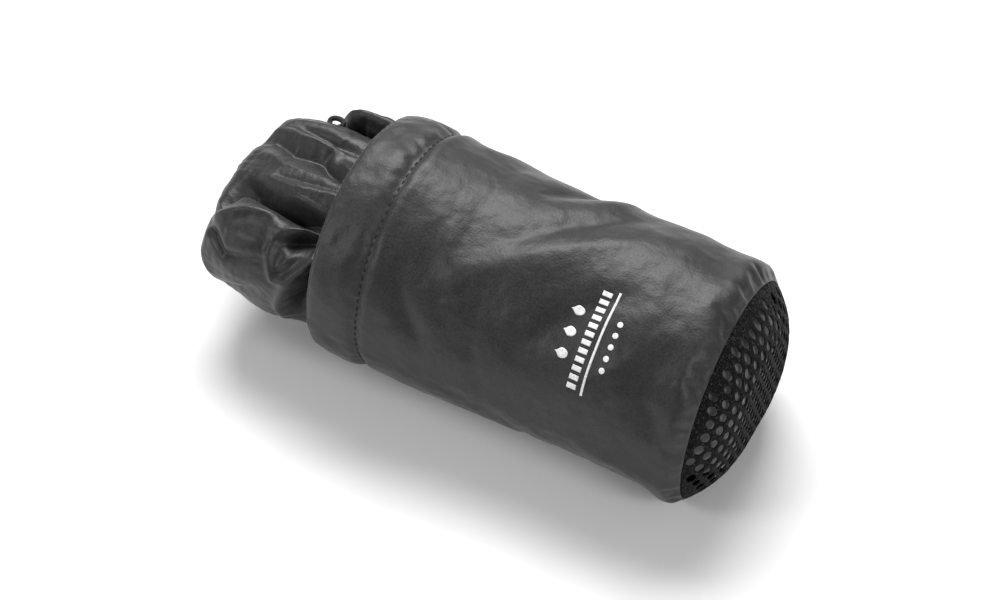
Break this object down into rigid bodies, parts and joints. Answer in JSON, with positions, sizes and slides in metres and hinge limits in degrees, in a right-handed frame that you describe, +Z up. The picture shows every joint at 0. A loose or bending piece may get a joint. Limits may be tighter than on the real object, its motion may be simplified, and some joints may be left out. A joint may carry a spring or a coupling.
{
  "type": "stuff sack with a packed rain cover",
  "caption": "Soft cylindrical stuff sack with a mesh bottom and an elasticated mouth, holding a folded rain cover that pulls out.",
  "frame": {"origin": "under the middle of the whole object, on the surface it lies on", "axes": "+X along the sack, from the open mouth to the mesh bottom; +Z up; +Y towards the side with the seam"},
  "size_m": [0.222, 0.0982, 0.089],
  "materials": {
    "sack_cloth": "coated polyester, satin",
    "cover_cloth": "coated polyester, satin",
    "mesh": "knitted polyester mesh, matt",
    "binding_tape": "woven tape, matt",
    "thread": "spun polyester thread",
    "elastic": "braided elastic",
    "print_ink": "screen print, white"
  },
  "bodies": {
    "sack": {"sack_panel": "sack_cloth", "mouth_band": "sack_cloth", "band_facing": "sack_cloth", "mouth_elastic": "elastic", "band_stitching": "thread", "side_seam": "binding_tape", "side_seam_stitching": "thread", "mesh_bottom": "mesh", "bottom_binding": "binding_tape", "bottom_stitching": "thread", "print_mark": "print_ink"},
    "cover": {"cover_bundle": "cover_cloth", "cover_front_lobe": "cover_cloth", "cover_top_fold": "cover_cloth", "cover_back_fold": "cover_cloth", "cover_rim_elastic": "elastic"}
  },
  "joints": [
    {"name": "cover_pull_out", "type": "slide", "parent": "sack", "child": "cover", "axis": [-1, 0, 0], "range_m": [0, 0.18]}
  ]
}
